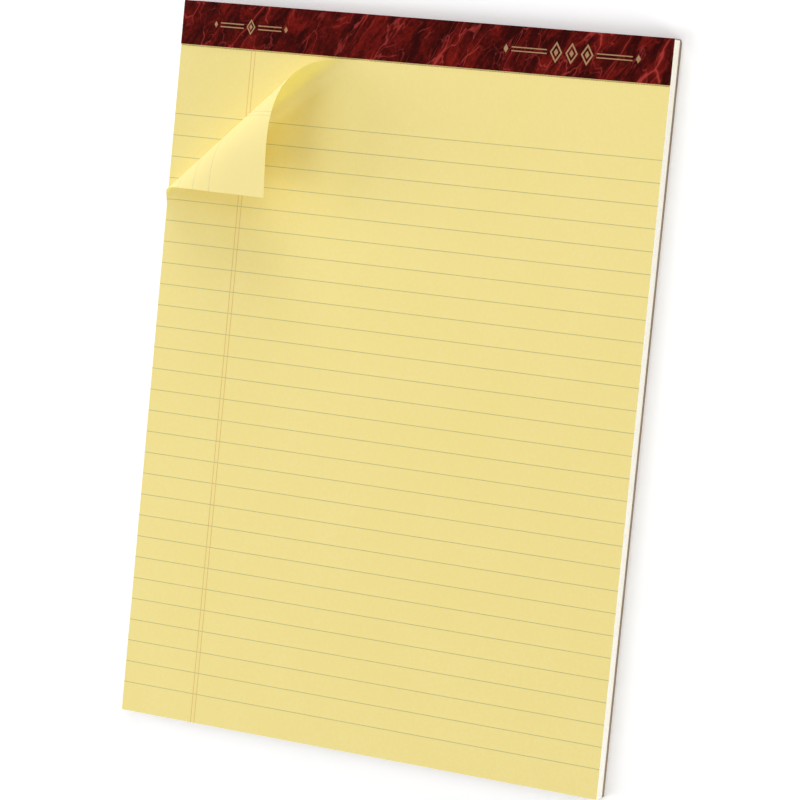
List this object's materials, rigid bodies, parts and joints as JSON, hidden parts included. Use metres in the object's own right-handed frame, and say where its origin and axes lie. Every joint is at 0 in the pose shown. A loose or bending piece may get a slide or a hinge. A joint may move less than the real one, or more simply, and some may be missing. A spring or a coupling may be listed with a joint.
{
  "type": "legal pad",
  "caption": "Ruled canary writing pad on a chipboard back, with a folded binding strip at the head and its torn top sheet rolled over at one corner.",
  "frame": {"origin": "middle of the footprint, on the surface that the pad lies on", "axes": "+Y up the page to the bound head, +Z out of the ruled face, +X across to the reader's right"},
  "size_m": [0.216, 0.2984, 0.0313],
  "materials": {
    "chipboard": "matt, grey-brown",
    "canary_paper": "matt, uncoated",
    "padding_gum": "dried padding gum",
    "marbled_cover_paper": "smooth, printed burgundy marble",
    "blue_ink": "matt print",
    "red_ink": "matt print",
    "gold_foil": "pale gold, satin"
  },
  "bodies": {
    "root": {"backing_board": "chipboard", "page_block": "canary_paper", "top_sheet": "canary_paper", "head_glue": "padding_gum", "binding_strip": "marbled_cover_paper", "ruled_lines": "blue_ink", "margin_lines": "red_ink", "foil_print": "gold_foil"}
  },
  "joints": []
}
